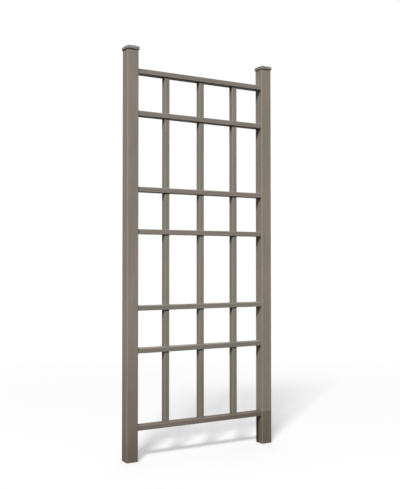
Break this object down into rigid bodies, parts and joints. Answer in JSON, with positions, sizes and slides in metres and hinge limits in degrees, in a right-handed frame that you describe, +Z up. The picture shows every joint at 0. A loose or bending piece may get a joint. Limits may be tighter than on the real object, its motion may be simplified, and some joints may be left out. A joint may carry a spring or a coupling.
{
  "type": "garden trellis",
  "caption": "Free-standing trellis of hollow vinyl: square capped posts, horizontal rails and upright bars in an open grid, held by stakes that slide out of the feet.",
  "frame": {"origin": "on the ground, midway between the two posts' feet", "axes": "+X along the width towards the right post, +Y towards the back, +Z up; the front faces -Y"},
  "size_m": [0.7182, 0.0578, 1.7048],
  "materials": {
    "post_vinyl": "satin grey-brown vinyl extrusion",
    "cap_vinyl": "satin grey-brown moulded vinyl",
    "rail_vinyl": "satin grey-brown vinyl extrusion",
    "bar_vinyl": "satin grey-brown vinyl extrusion",
    "screw_steel": "colour-matched coated steel",
    "stake_steel": "galvanised",
    "bushing_plastic": "moulded dark plastic"
  },
  "bodies": {
    "trellis_frame": {"left_post": "post_vinyl", "right_post": "post_vinyl", "left_post_cap": "cap_vinyl", "right_post_cap": "cap_vinyl", "bottom_rail": "rail_vinyl", "rail_2": "rail_vinyl", "rail_3": "rail_vinyl", "rail_4": "rail_vinyl", "rail_5": "rail_vinyl", "rail_6": "rail_vinyl", "top_rail": "rail_vinyl", "left_bar": "bar_vinyl", "middle_bar": "bar_vinyl", "right_bar": "bar_vinyl", "left_rail_screw_1": "screw_steel", "left_rail_screw_2": "screw_steel", "left_rail_screw_3": "screw_steel", "left_rail_screw_4": "screw_steel", "left_rail_screw_5": "screw_steel", "left_rail_screw_6": "screw_steel", "left_rail_screw_7": "screw_steel", "right_rail_screw_1": "screw_steel", "right_rail_screw_2": "screw_steel", "right_rail_screw_3": "screw_steel", "right_rail_screw_4": "screw_steel", "right_rail_screw_5": "screw_steel", "right_rail_screw_6": "screw_steel", "right_rail_screw_7": "screw_steel", "left_foot_bushing": "bushing_plastic", "left_upper_bushing": "bushing_plastic", "right_foot_bushing": "bushing_plastic", "right_upper_bushing": "bushing_plastic"},
    "left_ground_stake": {"left_stake": "stake_steel"},
    "right_ground_stake": {"right_stake": "stake_steel"}
  },
  "joints": [
    {"name": "left_stake_slide", "type": "slide", "parent": "trellis_frame", "child": "left_ground_stake", "axis": [0, 0, -1], "range_m": [0, 0.3]},
    {"name": "right_stake_slide", "type": "slide", "parent": "trellis_frame", "child": "right_ground_stake", "axis": [0, 0, -1], "range_m": [0, 0.3]}
  ]
}
